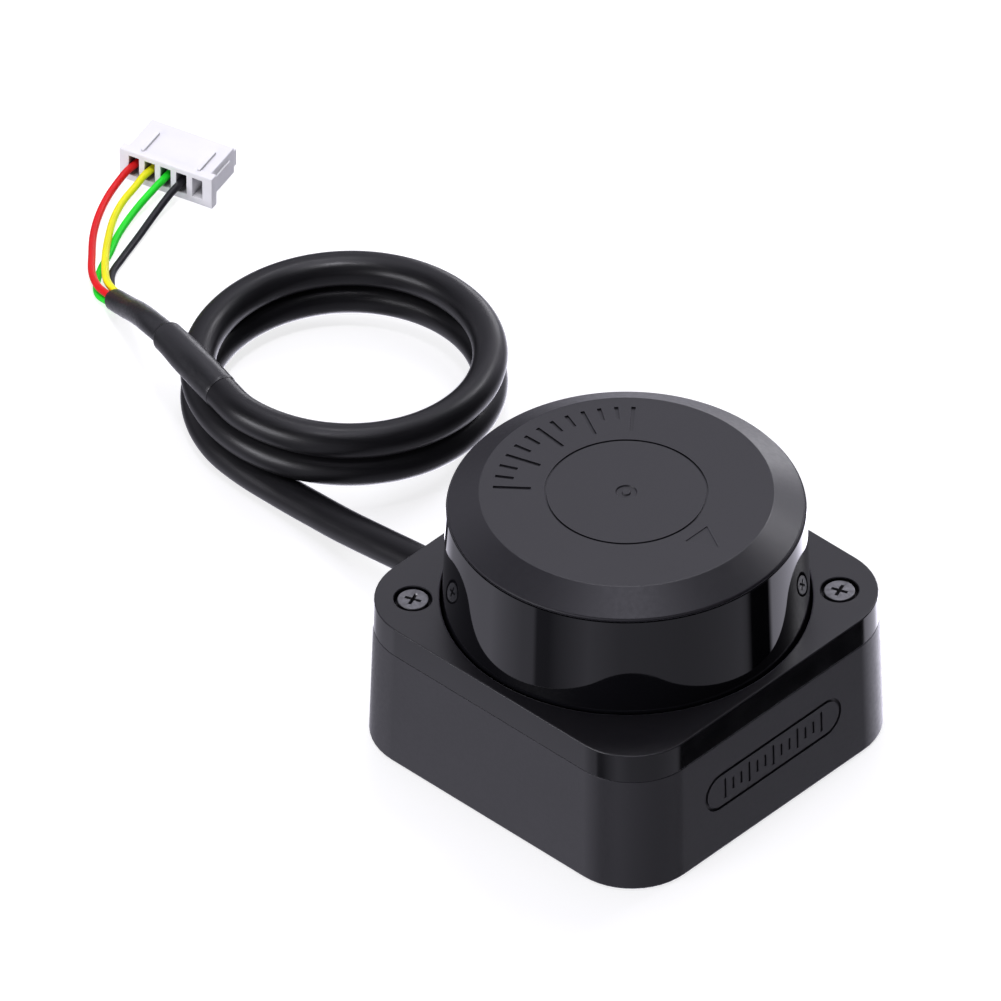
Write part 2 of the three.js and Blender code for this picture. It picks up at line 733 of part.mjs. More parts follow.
const WIRES = [
  { name: "red", color: 0xe6282d, way: 0 },
  { name: "yellow", color: 0xf0f028, way: 1 },
  { name: "green", color: 0x28c83c, way: 2 },
  { name: "black", color: 0x232326, way: 3 },
];
const WIRE_ROUTES = {
  red: [
    [16.1, 113.45, 2.4],
    [16.65, 116.25, 2.25],
    [18.55, 119.25, 1.9],
    [21.7, 122.3, 1.6],
    [25.1, 125.3, 1.4],
    [28.5, 127.6, 1.4],
    [32.05, 129.35, 1.6],
    [34.85, 130.2, 2],
    [37.65, 130.65, 2.6],
  ],
  yellow: [
    [17.2, 113.05, 2.4],
    [18.1, 115.85, 2.45],
    [21.45, 119.5, 2.1],
    [26.1, 123.35, 1.45],
    [30.2, 126.1, 1.2],
    [33.3, 127.35, 1.5],
    [36.35, 127.85, 2.1],
    [38.25, 128.15, 2.6],
  ],
  green: [
    [16.1, 113.5, 1.2],
    [16.45, 115.95, 0.95],
    [18.15, 118, 0.7],
    [20.95, 119.9, 0.6],
    [24.5, 121.5, 0.75],
    [27.25, 122.85, 1],
    [30.45, 124.05, 1.2],
    [34.35, 125.05, 1.6],
    [37.8, 125.4, 2.4],
  ],
  black: [
    [17.2, 113.05, 1.2],
    [19.1, 116.05, 1],
    [21.45, 118.1, 0.8],
    [24.6, 119.3, 0.75],
    [29.7, 120.9, 0.9],
    [34.55, 122.25, 1.5],
    [38.6, 122.95, 2.5],
  ],
};

function wireEnd(way) {
  const inside = new THREE.Vector3(1.2, wayY(way), WAY.z);
  return inside.applyAxisAngle(new THREE.Vector3(0, 0, 1), connector.rotation.z).add(connector.position);
}

WIRES.forEach(({ name, color, way }) => {
  const route = [...WIRE_ROUTES[name], wireEnd(way).toArray()];
  place(`wire_${name}`, tube(route, WIRE_R, 8, 13), material(color, 0.45));
  const y = wayY(way);
  place(`terminal_${name}`, block(1.7, 8.2, y - 0.6, y + 0.6, WAY.z - 0.9, WAY.z + 0.9), TIN, connector);
});

export default module;
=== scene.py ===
"""A spinning lidar scanner module and its cable: the looks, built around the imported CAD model.

Pieces are modelled in millimetres, in the CAD's own frame, and brought to metres when they are made.
"""
import json
import math

import bmesh
import bpy
from mathutils import Matrix, Vector


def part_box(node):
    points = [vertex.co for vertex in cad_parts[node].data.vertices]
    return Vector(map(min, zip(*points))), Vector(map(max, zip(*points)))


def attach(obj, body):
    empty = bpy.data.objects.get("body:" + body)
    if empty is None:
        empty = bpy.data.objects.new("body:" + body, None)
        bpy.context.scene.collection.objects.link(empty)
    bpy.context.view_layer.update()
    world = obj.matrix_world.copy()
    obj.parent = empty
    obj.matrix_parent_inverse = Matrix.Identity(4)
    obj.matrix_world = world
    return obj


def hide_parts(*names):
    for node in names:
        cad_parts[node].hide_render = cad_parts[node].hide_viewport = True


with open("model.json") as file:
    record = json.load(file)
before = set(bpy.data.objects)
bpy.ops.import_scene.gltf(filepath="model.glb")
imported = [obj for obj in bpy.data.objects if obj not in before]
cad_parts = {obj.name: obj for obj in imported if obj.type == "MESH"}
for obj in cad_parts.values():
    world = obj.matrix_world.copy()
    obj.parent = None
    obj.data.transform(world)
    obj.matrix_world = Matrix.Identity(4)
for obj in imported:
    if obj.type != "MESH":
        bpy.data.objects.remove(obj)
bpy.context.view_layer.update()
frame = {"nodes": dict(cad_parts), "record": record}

MM = 0.001
UP = Vector((0, 0, 1))


def box_mm(node):
    """The lowest and highest corner of a CAD node, in millimetres."""
    low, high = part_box(node)
    return low / MM, high / MM


# ---------------------------------------------------------------- camera

AZIMUTH = math.radians(-46.58)
ELEVATION = math.radians(39.74)
ROLL = math.radians(-0.16)
DISTANCE = 4.557
AIM = {"right": -0.01713, "up": 0.01474, "height": 0.02065}  # where it looks, from the module's middle


def make_camera():
    """A long lens far away, at the photograph's angle."""
    data = bpy.data.cameras.new("camera")
    data.lens = 1200
    data.sensor_width = 36
    data.clip_start = 1
    data.clip_end = 20
    camera = bpy.data.objects.new("camera", data)
    bpy.context.scene.collection.objects.link(camera)
    flat = math.cos(ELEVATION)
    back = Vector((math.sin(AZIMUTH) * flat, -math.cos(AZIMUTH) * flat, math.sin(ELEVATION)))
    right = Vector((math.cos(AZIMUTH), math.sin(AZIMUTH), 0))
    up = back.cross(right)
    target = right * AIM["right"] + up * AIM["up"] + UP * AIM["height"]
    turned_right = right * math.cos(ROLL) + up * math.sin(ROLL)
    axes = Matrix((turned_right, back.cross(turned_right), back)).transposed().to_4x4()
    camera.matrix_world = Matrix.Translation(target + back * DISTANCE) @ axes
    bpy.context.scene.camera = camera


make_camera()

# ---------------------------------------------------------------- building pieces


def make_piece(name, bm, body, look, replaces=(), smooth=35):
    """A mesh piece from millimetre geometry, smooth except over edges sharper than smooth degrees."""
    bmesh.ops.transform(bm, matrix=Matrix.Scale(MM, 4), verts=bm.verts)
    bmesh.ops.recalc_face_normals(bm, faces=bm.faces)
    mesh = bpy.data.meshes.new(name)
    bm.to_mesh(mesh)
    bm.free()
    mesh.shade_smooth()
    mesh.set_sharp_from_angle(angle=math.radians(smooth))
    piece = bpy.data.objects.new(name, mesh)
    bpy.context.scene.collection.objects.link(piece)
    mesh.materials.append(look)
    weighted = piece.modifiers.new("flat_faces_stay_flat", "WEIGHTED_NORMAL")
    weighted.keep_sharp = True
    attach(piece, body)
    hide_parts(*replaces)
    return piece


def circle(radius, z, sides):
    turns = [math.tau * i / sides for i in range(sides)]
    return [Vector((radius * math.cos(t), radius * math.sin(t), z)) for t in turns]


def rounded_square(half, corner, z, steps=12):
    """The points of a rounded square, counter-clockwise from its +X side."""
    points = []
    for quarter, (sx, sy) in enumerate(((1, 1), (-1, 1), (-1, -1), (1, -1))):
        for i in range(steps + 1):
            turn = math.radians(90 * (quarter + i / steps))
            x = sx * (half - corner) + corner * math.cos(turn)
            y = sy * (half - corner) + corner * math.sin(turn)
            points.append(Vector((x, y, z)))
    return points


def loft(rings, closed=False):
    """A skin through rings with equal numbers of points: closed on itself, or capped at both ends."""
    bm = bmesh.new()
    rows = [[bm.verts.new(point) for point in ring] for ring in rings]
    count = len(rows[0])
    for low, high in zip(rows, rows[1:] + (rows[:1] if closed else [])):
        for i in range(count):
            j = (i + 1) % count
            bm.faces.new((low[i], low[j], high[j], high[i]))
    if not closed:
        bm.faces.new(list(reversed(rows[0])))
        bm.faces.new(rows[-1])
    return bm


def filleted(corners, steps=4):
    """The line through (x, y, fillet radius) corners, with each corner rounded. The ends stay sharp."""
    line = [Vector(corners[0][:2])]
    for before, (x, y, radius), after in zip(corners, corners[1:], corners[2:]):
        here = Vector((x, y))
        if radius == 0:
            line.append(here)
            continue
        back = (Vector(before[:2]) - here).normalized()
        on = (Vector(after[:2]) - here).normalized()
        half = back.angle(on) / 2
        centre = here + (back + on).normalized() * (radius / math.sin(half))
        start = here + back * (radius / math.tan(half)) - centre
        end = here + on * (radius / math.tan(half)) - centre
        line += [centre + start.lerp(end, i / steps).normalized() * radius for i in range(steps + 1)]
    line.append(Vector(corners[-1][:2]))
    return line


def lathe(profile, sides=96, closed=False):
    """A profile of (radius, height) turned about Z."""
    return loft([circle(radius, z, sides) for radius, z in profile], closed)


def block(x0, x1, y0, y1, z0, z1, edge=0.0):
    """A box, its edges rounded by edge."""
    bm = bmesh.new()
    size = Matrix.Diagonal((x1 - x0, y1 - y0, z1 - z0, 1))
    middle = Matrix.Translation(((x0 + x1) / 2, (y0 + y1) / 2, (z0 + z1) / 2))
    bmesh.ops.create_cube(bm, size=1, matrix=middle @ size)
    if edge:
        bmesh.ops.bevel(bm, geom=bm.edges[:], offset=edge, segments=3, affect="EDGES", profile=0.5)
    return bm


def moved(bm, x=0.0, y=0.0, z=0.0, turn=0.0, about="Z"):
    matrix = Matrix.Translation((x, y, z)) @ Matrix.Rotation(math.radians(turn), 4, about)
    bmesh.ops.transform(bm, matrix=matrix, verts=bm.verts)
    return bm


def together(parts):
    """Several shapes in one bmesh."""
    whole = bmesh.new()
    for part in parts:
        bmesh.ops.recalc_face_normals(part, faces=part.faces)
        mesh = bpy.data.meshes.new("part")
        part.to_mesh(mesh)
        part.free()
        whole.from_mesh(mesh)
        bpy.data.meshes.remove(mesh)
    return whole


def scratch_object(name, bm):
    """An object only for a boolean, removed after it."""
    mesh = bpy.data.meshes.new(name)
    bm.to_mesh(mesh)
    bm.free()
    made = bpy.data.objects.new(name, mesh)
    bpy.context.scene.collection.objects.link(made)
    return made


def combine(bm, parts, operation):
    """A boolean of a shape with others."""
    body = scratch_object("boolean_body", together([bm]))
    tool = scratch_object("boolean_tool", together(parts))
    modifier = body.modifiers.new("boolean", "BOOLEAN")
    modifier.operation = operation
    modifier.solver = "EXACT"
    modifier.use_self = True
    modifier.object = tool
    shown = body.evaluated_get(bpy.context.evaluated_depsgraph_get())
    result = bmesh.new()
    result.from_mesh(shown.to_mesh())
    shown.to_mesh_clear()
    for used in (body, tool):
        mesh = used.data
        bpy.data.objects.remove(used)
        bpy.data.meshes.remove(mesh)
    bmesh.ops.remove_doubles(result, verts=result.verts, dist=1e-4)
    return result


def carve(bm, cutters):
    return combine(bm, cutters, "DIFFERENCE")


def weld(bm, parts):
    return combine(bm, parts, "UNION")


def smooth_line(points, step):
    """Evenly spaced points on a centripetal Catmull-Rom curve through points."""
    knots = [Vector(p) for p in points]
    knots = [2 * knots[0] - knots[1], *knots, 2 * knots[-1] - knots[-2]]
    dense = []
    for a, b, c, d in zip(knots, knots[1:], knots[2:], knots[3:]):
        t0 = 0.0
        t1 = t0 + math.sqrt((b - a).length)
        t2 = t1 + math.sqrt((c - b).length)
        t3 = t2 + math.sqrt((d - c).length)
        for i in range(24):
            t = t1 + (t2 - t1) * i / 24
            ab = a.lerp(b, (t - t0) / (t1 - t0))
            bc = b.lerp(c, (t - t1) / (t2 - t1))
            cd = c.lerp(d, (t - t2) / (t3 - t2))
            abc = ab.lerp(bc, (t - t0) / (t2 - t0))
            bcd = bc.lerp(cd, (t - t1) / (t3 - t1))
            dense.append(abc.lerp(bcd, (t - t1) / (t2 - t1)))
    dense.append(knots[-2])
    lengths = [0.0]
    for a, b in zip(dense, dense[1:]):
        lengths.append(lengths[-1] + (b - a).length)
    count = max(2, round(lengths[-1] / step))
    line, k = [], 0
    for i in range(count + 1):
        wanted = lengths[-1] * i / count
        while k < len(dense) - 2 and lengths[k + 1] < wanted:
            k += 1
        span = lengths[k + 1] - lengths[k]
        line.append(dense[k].lerp(dense[k + 1], (wanted - lengths[k]) / span))
    return line


def line_length(line):
    return sum((b - a).length for a, b in zip(line, line[1:]))


def frames_along(line):
    """(point, side, other side) at each point, with no twist along the line."""
    found = []
    side = None
    for i, point in enumerate(line):
        ahead = (line[min(i + 1, len(line) - 1)] - line[max(i - 1, 0)]).normalized()
        if side is None:
            side = ahead.cross(UP).normalized()
        side = (side - ahead * side.dot(ahead)).normalized()
        found.append((point, side, ahead.cross(side)))
    return found


def tube(line, radius_at, sides=32):
    """A closed tube along a line. radius_at(distance, turn) is its radius; UV is turn and metres along."""
    frames = frames_along(line)
    distance = [0.0]
    for a, b in zip(line, line[1:]):
        distance.append(distance[-1] + (b - a).length)
    rings = []
    for (point, side, other), along in zip(frames, distance):
        ring = []
        for i in range(sides):
            turn = math.tau * i / sides
            radius = radius_at(along, turn)
            ring.append(point + side * (radius * math.cos(turn)) + other * (radius * math.sin(turn)))
        rings.append(ring)
    bm = loft(rings)
    uv = bm.loops.layers.uv.new("along")
    bm.verts.index_update()
    for face in bm.faces:
        turns = [loop.vert.index % sides for loop in face.loops]
        wraps = max(turns) - min(turns) > sides / 2
        for loop, turn in zip(face.loops, turns):
            around = sides if wraps and turn == 0 else turn
            loop[uv].uv = (around / sides, distance[loop.vert.index // sides] * MM)
    return bm


# ---------------------------------------------------------------- materials


def add_node(tree, kind, links=(), **settings):
    """A node with its settings, its inputs fed from sockets or set to values."""
    made = tree.nodes.new(kind)
    for key, value in settings.items():
        setattr(made, key, value)
    for socket, source in dict(links).items():
        feed(tree, made.inputs[socket], source)
    return made


def feed(tree, socket, source):
    if isinstance(source, bpy.types.NodeSocket):
        tree.links.new(source, socket)
    else:
        socket.default_value = source


class Look:
    """A material's node tree, with short ways to add the nodes used here."""

    def __init__(self, name, colour, roughness, **sockets):
        self.material = bpy.data.materials.new(name)
        self.material.use_nodes = True
        self.tree = self.material.node_tree
        self.shader = self.tree.nodes["Principled BSDF"]
        self.shader.inputs["Base Color"].default_value = (*colour, 1)
        self.shader.inputs["Roughness"].default_value = roughness
        for socket, value in sockets.items():
            self.shader.inputs[socket.replace("_", " ").title().replace("Ior", "IOR")].default_value = value
        self.colour = colour
        self.roughness = roughness
        self.place = self.node("ShaderNodeTexCoord").outputs["Object"]
        self.height = None

    def node(self, kind, links=(), **settings):
        return add_node(self.tree, kind, links, **settings)

    def feed(self, socket, source):
        feed(self.tree, socket, source)

    def stretched(self, x, y, z, source=None):
        """The place scaled unequally, for a grain that runs along one direction."""
        links = {"Vector": source or self.place, "Scale": (x, y, z)}
        return self.node("ShaderNodeMapping", links).outputs["Vector"]

    def noise(self, scale, detail=3, place=None, roughness=0.5):
        links = {"Vector": place or self.place, "Scale": scale, "Detail": detail, "Roughness": roughness}
        return self.node("ShaderNodeTexNoise", links).outputs["Fac"]

    def fit(self, source, low, high, out_low, out_high):
        links = {"Value": source, "From Min": low, "From Max": high, "To Min": out_low, "To Max": out_high}
        return self.node("ShaderNodeMapRange", links).outputs["Result"]

    def mix(self, factor, one, two):
        made = self.node("ShaderNodeMix", data_type="RGBA")
        self.feed(made.inputs[0], factor)
        for socket, colour in ((made.inputs[6], one), (made.inputs[7], two)):
            self.feed(socket, colour if isinstance(colour, bpy.types.NodeSocket) else (*colour, 1))
        return made.outputs[2]

    def tint(self, source, amount, low=0.35, high=0.65):
        """The colour, lighter and darker by amount where source is high and low."""
        dark = [c * (1 - amount) for c in self.colour]
        light = [c * (1 + amount) for c in self.colour]
        colour = self.mix(self.fit(source, low, high, 0, 1), dark, light)
        self.feed(self.shader.inputs["Base Color"], colour)
        return colour

    def gloss(self, source, amount, low=0.35, high=0.65):
        """Roughness from its value less amount to its value and amount."""
        value = self.fit(source, low, high, self.roughness - amount, self.roughness + amount)
        self.feed(self.shader.inputs["Roughness"], value)

    def edges(self, width):
        """One on an edge and nothing width millimetres away from it."""
        rounded = self.node("ShaderNodeBevel", {"Radius": width * MM}, samples=4).outputs["Normal"]
        flat = self.node("ShaderNodeNewGeometry").outputs["Normal"]
        links = {0: rounded, 1: flat}
        facing = self.node("ShaderNodeVectorMath", links, operation="DOT_PRODUCT").outputs["Value"]
        return self.fit(facing, 0.99, 0.85, 0, 1)

    def bump(self, source, depth, strength=1.0):
        """Relief of depth millimetres, on top of any relief made before."""
        links = {"Height": source, "Distance": depth * MM, "Strength": strength}
        made = self.node("ShaderNodeBump", links)
        if self.height is not None:
            self.feed(made.inputs["Normal"], self.height)
        self.height = made.outputs["Normal"]
        self.feed(self.shader.inputs["Normal"], self.height)


def moulded_plastic(name, colour, roughness, grain=3200, depth=0.008, edge_highlight=2):
    """Injection-moulded plastic with a fine spark-eroded grain, and a painted highlight along its edges: the
    last argument says how many times lighter the colour is there.
    """
    look = Look(name, colour, roughness)
    cloud = look.noise(70, 4)
    grit = look.noise(grain, 3, roughness=0.7)
    colour = look.tint(cloud, 0.05)
    # Painted highlight: the colour is lighter within 0.2 mm of any edge.
    edge = look.mix(look.edges(0.2), colour, [min(1, edge_highlight * c) for c in look.colour])
    look.feed(look.shader.inputs["Base Color"], edge)
    look.gloss(look.noise(1500, 4), 0.03)
    look.bump(grit, depth, 0.5)
    return look.material


def glossy_plastic(name, colour, roughness, **sockets):
    """Polished plastic: faint flow waves in the surface and a little haze."""
    look = Look(name, colour, roughness, **sockets)
    look.tint(look.noise(90, 2), 0.08)
    look.gloss(look.noise(260, 5), 0.018)
    look.bump(look.noise(55, 1), 0.006, 0.25)
    return look.material


def black_rubber():
    look = Look("rubber", (0.018, 0.018, 0.019), 0.62)
    look.tint(look.noise(240, 4), 0.15)
    look.gloss(look.noise(900, 3), 0.07)
    look.bump(look.noise(2600, 4, roughness=0.7), 0.02, 0.5)
    return look.material


def along_tube(look, stretch):
    """UV of a tube piece, scaled so that a grain of it runs along the tube."""
    uv = look.node("ShaderNodeUVMap", uv_map="along").outputs["UV"]
    return look.stretched(*stretch, 1, source=uv)


def extruded_vinyl(name, colour, roughness, **sockets):
    """Cable and wire covering, with the faint lengthwise drag lines of its die."""
    look = Look(name, colour, roughness, **sockets)
    drag = look.noise(6, 4, place=along_tube(look, (9, 40)))
    look.tint(look.noise(160, 3), 0.06)
    look.gloss(drag, 0.05)
    look.bump(drag, 0.012, 0.35)
    look.bump(look.noise(1500, 2), 0.006, 0.3)
    return look.material


def shrink_tube():
    """Heat-shrink tube, with faint wrinkles across it."""
    look = Look("shrink_tube", (0.013, 0.013, 0.0145), 0.36)
    uv = along_tube(look, (7, 260))
    look.tint(look.noise(200, 3), 0.12)
    look.gloss(look.noise(4, 4, place=uv), 0.06)
    look.bump(look.noise(3, 3, place=uv), 0.03, 0.4)
    look.bump(look.noise(1900, 3), 0.008, 0.4)
    return look.material


def nylon():
    """Milky nylon, with painted shade inside its narrow cavities."""
    look = Look("connector_nylon", (0.86, 0.855, 0.87), 0.42)
    look.shader.inputs["Subsurface Weight"].default_value = 0.15
    look.shader.inputs["Subsurface Radius"].default_value = (0.9, 0.9, 0.9)
    look.shader.inputs["Subsurface Scale"].default_value = 0.0006
    white = look.tint(look.noise(260, 3), 0.015)
    # Painted shade: an occlusion mask darkens the colour inside the cavities.
    open_sky = look.node("ShaderNodeAmbientOcclusion", {"Distance": 1.6 * MM}, samples=8).outputs["AO"]
    painted_cavity_shade = look.mix(look.fit(open_sky, 0.3, 0.75, 0, 1), (0.1, 0.1, 0.105), white)
    look.feed(look.shader.inputs["Base Color"], painted_cavity_shade)
    look.gloss(look.noise(700, 3), 0.05)
    look.bump(look.noise(2400, 3), 0.008, 0.5)
    return look.material


def brushed_metal(name, colour, roughness, scratches=(1, 1, 30)):
    look = Look(name, colour, roughness, metallic=1.0)
    lines = look.noise(900, 5, place=look.stretched(*scratches), roughness=0.65)
    look.tint(look.noise(350, 4), 0.12)
    look.gloss(lines, 0.1)
    look.bump(lines, 0.006, 0.35)
    return look.material


def black_steel():
    """Phosphated steel: dark, a little mottled, and lighter in colour on its sharp convex edges."""
    look = Look("black_steel", (0.15, 0.15, 0.155), 0.42, metallic=0.8)
    mottle = look.noise(1100, 5, roughness=0.6)
    convex_edges = look.fit(look.node("ShaderNodeNewGeometry").outputs["Pointiness"], 0.51, 0.58, 0, 0.6)
    colour = look.tint(mottle, 0.3)
    look.feed(look.shader.inputs["Base Color"], look.mix(convex_edges, colour, (0.3, 0.3, 0.31)))
    look.gloss(mottle, 0.08)
    look.bump(mottle, 0.008, 0.4)
    return look.material


def circuit_board():
    """Solder mask over copper tracks: the tracks show as a lighter green, slightly raised."""
    look = Look("circuit_board", (0.006, 0.05, 0.02), 0.35)
    cells = look.node("ShaderNodeTexVoronoi", {"Vector": look.place, "Scale": 420}, distance="MANHATTAN",
                      feature="F1")
    tracks = look.fit(look.node("ShaderNodeMath", {0: cells.outputs["Distance"], 1: 9.0}, operation="SINE")
                      .outputs[0], 0.2, 0.45, 0, 1)
    green = look.mix(tracks, (0.004, 0.035, 0.014), (0.014, 0.105, 0.04))
    look.feed(look.shader.inputs["Base Color"], green)
    look.gloss(look.noise(800, 3), 0.06)
    look.bump(tracks, 0.03, 0.6)
    return look.material


def wound_copper():
    """Enamelled wire laid side by side."""
    look = Look("copper", (0.55, 0.2, 0.08), 0.3, metallic=1.0)
    turns = look.node("ShaderNodeTexWave", {"Vector": look.place, "Scale": 900, "Distortion": 0.6,
                                            "Detail": 1}, bands_direction="Z").outputs["Fac"]
    look.tint(turns, 0.35, 0.1, 0.9)
    look.gloss(look.noise(600, 3), 0.08)
    look.bump(turns, 0.08, 0.8)
    return look.material


def lens_glass():
    """Coated optical glass."""
    look = Look("lens_glass", (0.93, 0.97, 1.0), 0.02, transmission_weight=1.0, ior=1.52)
    look.gloss(look.noise(500, 2), 0.01)
    look.shader.inputs["Coat Weight"].default_value = 0.4
    look.shader.inputs["Coat Tint"].default_value = (0.75, 0.85, 1.0, 1)
    return look.material


LOOKS = {
    "shell_plastic": moulded_plastic("shell_plastic", (0.017, 0.0165, 0.0192), 0.36),
    # The cover's edges get a stronger painted highlight.
    "cover_plastic": moulded_plastic("cover_plastic", (0.011, 0.0106, 0.0125), 0.33, edge_highlight=4),
    "cap_plastic": moulded_plastic("cap_plastic", (0.017, 0.0164, 0.0194), 0.36, grain=3600, depth=0.006),
    "window_plastic": glossy_plastic("window_plastic", (0.004, 0.004, 0.005), 0.045, ior=1.52),
    "steel": brushed_metal("steel", (0.62, 0.62, 0.64), 0.28),
    "black_steel": black_steel(),
    "brass": brushed_metal("brass", (0.62, 0.43, 0.17), 0.3),
    "circuit_board": circuit_board(),
    "chip": moulded_plastic("chip", (0.014, 0.014, 0.015), 0.55, grain=5200, depth=0.02),
    "copper": wound_copper(),
    "magnet": brushed_metal("magnet", (0.16, 0.16, 0.17), 0.5, scratches=(1, 1, 1)),
    "lens_glass": lens_glass(),
    "inner_plastic": moulded_plastic("inner_plastic", (0.017, 0.017, 0.019), 0.5),
    "rubber": black_rubber(),
    "cable_jacket": extruded_vinyl("cable_jacket", (0.0065, 0.0063, 0.0074), 0.36, specular_ior_level=0.35),
    "connector_nylon": nylon(),
    "tin": brushed_metal("tin", (0.6, 0.59, 0.56), 0.32),
    "wire_red": extruded_vinyl("wire_red", (0.76, 0.008, 0.01), 0.4, specular_ior_level=0.3),
    "wire_yellow": extruded_vinyl("wire_yellow", (0.88, 0.85, 0.01), 0.4, specular_ior_level=0.3),
    "wire_green": extruded_vinyl("wire_green", (0.014, 0.78, 0.025), 0.4, specular_ior_level=0.3),
    "wire_black": extruded_vinyl("wire_black", (0.014, 0.014, 0.017), 0.4, specular_ior_level=0.3),
}
BAND_GLOSS = glossy_plastic("cover_band", (0.005, 0.005, 0.006), 0.13, ior=1.5)
# Painted highlight: a much lighter plastic for the rounded lip of the rotor's hole, standing in for the
# light line along it.
RIM_PAINTED_HIGHLIGHT = moulded_plastic("rim_painted_highlight", (0.1, 0.097, 0.11), 0.3)
SHRINK_TUBE = shrink_tube()

for subpart in frame["record"]["subparts"]:
    node = frame["nodes"][subpart["node"]]
    node.data.materials.clear()
    node.data.materials.append(LOOKS[subpart["material_slot"]])

# ---------------------------------------------------------------- cable

CABLE_RADIUS = 2.45
EXIT = Vector((0, box_mm("cable_grommet")[1].y, 7.2))  # where the cable leaves the grommet
COIL = {"x": 22.1, "y": 74.25, "radius": 20.25, "turns": 2, "rise": 4.9, "low": 2.45}

LEAD = [
    (0, 25, 7.2),
    (0, 30, 7.2),
    (0.05, 38, 6.6),
    (0.3, 46.1, 5.4),
    (0.8, 54.2, 4.0),
    (1.2, 59.2, 3.3),
    (1.6, 66.5, 2.6),
]
TAIL = [
    (2.9, 79.1, 12.25),
    (4.65, 86.15, 12.5),
]
SLEEVE_WIDE = [
    (2.95, 79.4, 12.3),
    (4.65, 86.15, 12.5),
    (6.8, 93.25, 12.0),
]
SLEEVE_NECK = [
    (8.5, 97.6, 10.7),
    (11.5, 103.2, 7.7),
    (14.2, 108.2, 4.5),
    (16.35, 112.65, 2.0),
]


def coil_points():
    """The coil's turns, clockwise seen from above, from its -X side."""
    per_turn = 24
    points = []
    for i in range(COIL["turns"] * per_turn + 1):
        turn = math.pi - math.tau * i / per_turn
        x = COIL["x"] + COIL["radius"] * math.cos(turn)
        y = COIL["y"] + COIL["radius"] * math.sin(turn)
        points.append((x, y, COIL["low"] + COIL["rise"] * i / per_turn))
    return points


def smoothstep(share):
    share = min(1.0, max(0.0, share))
    return share * share * (3 - 2 * share)


def sleeve_radius(distance, turn, step):
    """Heat-shrink sleeve: snug on the jacket, tapering past its end, then shrunk onto the wires."""
    if distance < 0.3:
        return 2.46 + 0.09 * math.sin(math.pi / 2 * distance / 0.3)
    wide = 2.55 + 0.01 * math.sin(0.9 * distance + 2 * turn) - 0.25 * smoothstep(2 * distance / step - 1)
    past = distance - step
    neck = 1.8 - 0.009 * past + 0.02 * math.cos(4 * turn + 0.12 * past)
    return wide + (neck - wide) * smoothstep(past / 0.9)


def make_cable():
    route = [*LEAD, *coil_points(), *TAIL]
    line = smooth_line(route, 0.6)
    bm = tube(line, lambda distance, turn: CABLE_RADIUS, 32)
    nodes = ("cable_lead", "cable_coil", "cable_tail")
    cable = make_piece("cable", bm, "base", LOOKS["cable_jacket"], nodes)
    return cable, line


def make_sleeve():
    line = smooth_line([*SLEEVE_WIDE, *SLEEVE_NECK], 0.3)
    step = line_length(smooth_line(SLEEVE_WIDE, 0.3))
    bm = tube(line, lambda distance, turn: sleeve_radius(distance, turn, step), 40)
    return make_piece("heat_shrink_sleeve", bm, "base", SHRINK_TUBE, ("cable_sleeve",))


def make_grommet():
    low, high = box_mm("cable_grommet")
    wall = box_mm("base_shell")[1].y + 0.1
    corners = [(2.52, low.y), (4.1, low.y, 0.15), (4.1, 25.45, 0.1), (3.15, 25.45), (3.15, wall),
               (4.1, wall, 0.1), (4.1, wall + 0.45, 0.15), (3.4, wall + 0.75, 0.12), (3.3, high.y, 0.3),
               (2.52, high.y)]
    corners = [(*c, 0) if len(c) == 2 else c for c in corners]
    bm = lathe([(p.x, -p.y) for p in filleted(corners, 3)], 64, closed=True)
    moved(bm, turn=90, about="X")
    moved(bm, z=EXIT.z)
    return make_piece("exit_grommet", bm, "base", LOOKS["rubber"], ("cable_grommet",))


cable, cable_line = make_cable()
sleeve = make_sleeve()
grommet = make_grommet()

# ---------------------------------------------------------------- connector and wires

CONNECTOR = {"length": 9.6, "flange": 1.4, "flange_half": 7.45, "flange_top": 5.3, "half": 6.6}
BODY = {"end": 7.9, "bottom": 0.75, "top": 5.2, "rib_top": 5.6, "ledge": 3.6}
WAY = {"pitch": 2.54, "width": 1.5, "height": 3.2, "z": 2.8, "count": 5}
MATING_FACE = next(mount for mount in frame["record"]["mounts"] if mount["name"] == "connector_face")


def connector_matrix():
    """From the connector's own frame, +X from its wire side to its mating side, to the model's."""
    ahead = Vector(MATING_FACE["axis"])
    aside = UP.cross(ahead)
    corner = Vector(MATING_FACE["pos_m"]) / MM - ahead * CONNECTOR["length"] - aside * (WAY["pitch"] / 2)
    corner.z = 0
    axes = Matrix((ahead, aside, UP)).transposed().to_4x4()
    return Matrix.Translation(corner) @ axes


IN_CONNECTOR = connector_matrix()


def way_y(way):
    """Where a way's middle is across the connector."""
    return (2 - way) * WAY["pitch"]


def way_cutter(way):
    """A cavity right through, with a flared mouth on the wire side and a small opening for the pin."""
    y, half, rise = way_y(way), WAY["width"] / 2, WAY["height"] / 2
    rings = []
    for x, flare in ((-0.5, 0.28), (0.22, 0), (8.3, 0), (8.4, -0.35), (CONNECTOR["length"] + 0.5, -0.35)):
        reach, lift = half + flare, rise + flare
        corners = ((y - reach, -lift), (y + reach, -lift), (y + reach, lift), (y - reach, lift))
        rings.append([Vector((x, at, WAY["z"] + z)) for at, z in corners])
    return loft(rings)


